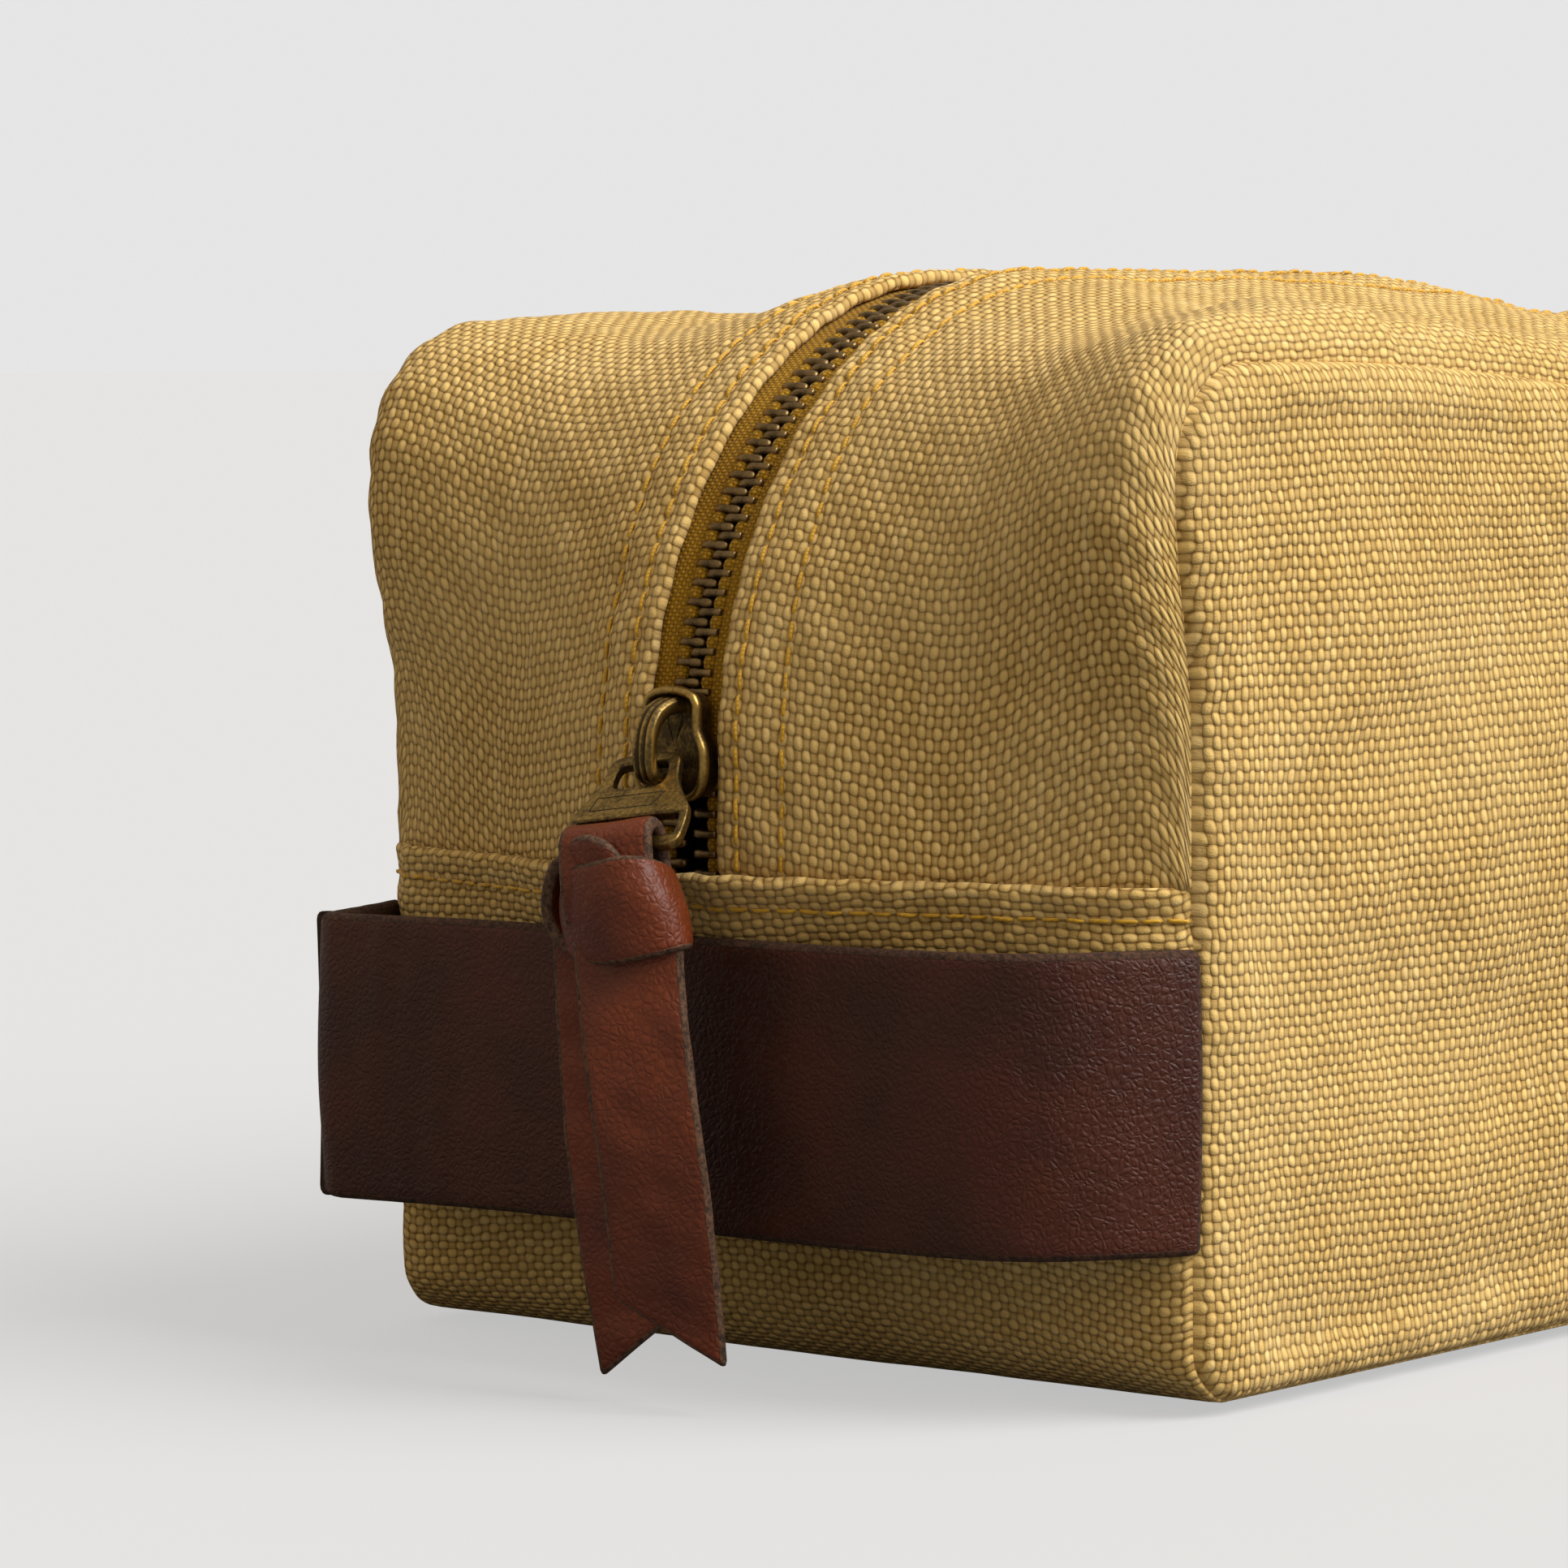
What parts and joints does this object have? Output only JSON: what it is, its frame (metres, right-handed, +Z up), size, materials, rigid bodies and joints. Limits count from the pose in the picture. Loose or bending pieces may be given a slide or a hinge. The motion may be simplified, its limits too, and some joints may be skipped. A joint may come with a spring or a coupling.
{
  "type": "shaving kit bag",
  "caption": "Boxy canvas toiletry bag with a wrap-over metal zip, a leather handle at one end and a knotted leather pull.",
  "frame": {"origin": "middle of the base, on the surface the bag stands on", "axes": "+X along the length away from the handle end, -Y towards the front panel, +Z up"},
  "size_m": [0.31, 0.139, 0.139],
  "materials": {
    "canvas": "washed heavy plain-weave cotton duck, mustard khaki",
    "lining": "plain cotton twill lining",
    "binding": "cotton binding tape",
    "zip_tape": "woven mustard tape",
    "zip_metal": "antique dark bronze",
    "antique_brass": "antique brass, rubbed bright on the edges",
    "strap_leather": "dark brown, fine grain, satin",
    "pull_leather": "reddish brown, fine grain, semi-gloss",
    "thread": "mustard yellow spun thread"
  },
  "bodies": {
    "bag": {"front_panel": "canvas", "rear_panel": "canvas", "zip_gusset_front": "canvas", "zip_gusset_rear": "canvas", "bottom_gusset": "canvas", "lining_front": "lining", "lining_rear": "lining", "lining_zip_front": "lining", "lining_zip_rear": "lining", "lining_bottom": "lining", "seam_binding_front": "binding", "seam_binding_rear": "binding", "inner_pocket": "lining", "handle_strap": "strap_leather", "zip_tape_front": "zip_tape", "zip_tape_rear": "zip_tape", "zip_teeth_front": "zip_metal", "zip_teeth_rear": "zip_metal", "zip_top_stops": "zip_metal", "zip_end_stop": "zip_metal"},
    "slider": {"slider_body": "antique_brass", "slider_bridge": "antique_brass"},
    "tab": {"pull_tab": "antique_brass"},
    "pull": {"leather_pull": "pull_leather"}
  },
  "joints": [
    {"name": "slider_travel", "type": "hinge", "parent": "bag", "child": "slider", "pos_m": [-0.082, 0, 0.0775], "axis": [0, 1, 0], "range_deg": [0, 87], "deforming": ["zip_teeth_front", "zip_teeth_rear", "zip_tape_front", "zip_tape_rear"]},
    {"name": "tab_flip", "type": "hinge", "parent": "slider", "child": "tab", "pos_m": [-0.14704, 0.0019, 0.07804], "axis": [-0.2924, 0.948, -0.1259], "range_deg": [0, 50]},
    {"name": "pull_swing", "type": "hinge", "parent": "tab", "child": "pull", "pos_m": [-0.15756, -0.0019, 0.06832], "axis": [-0.2924, 0.948, -0.1259], "range_deg": [0, 60]}
  ]
}
